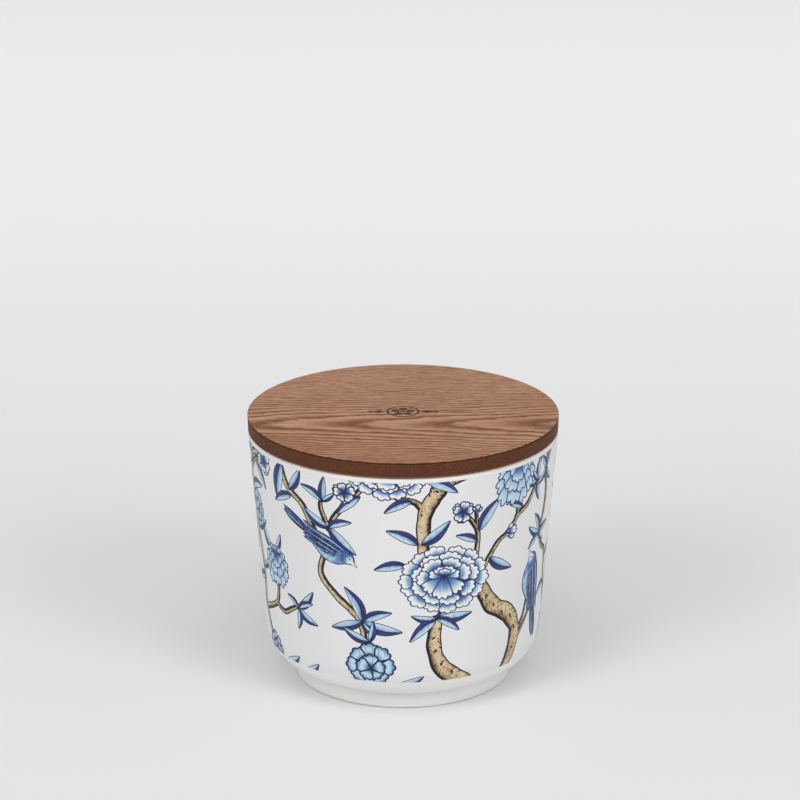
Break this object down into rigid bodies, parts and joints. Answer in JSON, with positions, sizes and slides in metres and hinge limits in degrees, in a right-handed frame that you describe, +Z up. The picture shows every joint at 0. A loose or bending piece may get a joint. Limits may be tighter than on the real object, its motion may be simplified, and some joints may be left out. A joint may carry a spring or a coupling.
{
  "type": "storage canister",
  "caption": "Round tapered ceramic storage canister on a narrow foot, with a printed wrap and a lift-off wooden lid whose plug carries a finned silicone seal.",
  "frame": {"origin": "centre of the foot's underside, on the axis of the jar and the lid, at the surface that the canister stands on", "axes": "+Z up along the axis that the lid lifts along; -Y is the side that faces the viewer; +X is to the viewer's right and along the lid's grain"},
  "size_m": [0.12, 0.12, 0.1059],
  "materials": {
    "glaze": "satin white glaze",
    "print_film": "satin printed transfer film, blue, white and tan",
    "fibreboard": "stained and sealed fibreboard",
    "veneer": "open-grained veneer under a thin satin lacquer",
    "silicone": "milky matte silicone"
  },
  "bodies": {
    "canister": {"canister_body": "glaze", "print_wrap": "print_film"},
    "lid": {"lid_core": "fibreboard", "top_veneer": "veneer", "bottom_veneer": "veneer", "lid_plug": "fibreboard", "seal_ring": "silicone"}
  },
  "joints": [
    {"name": "lid_lift", "type": "slide", "parent": "canister", "child": "lid", "axis": [0, 0, 1], "range_m": [0, 0.1]}
  ]
}
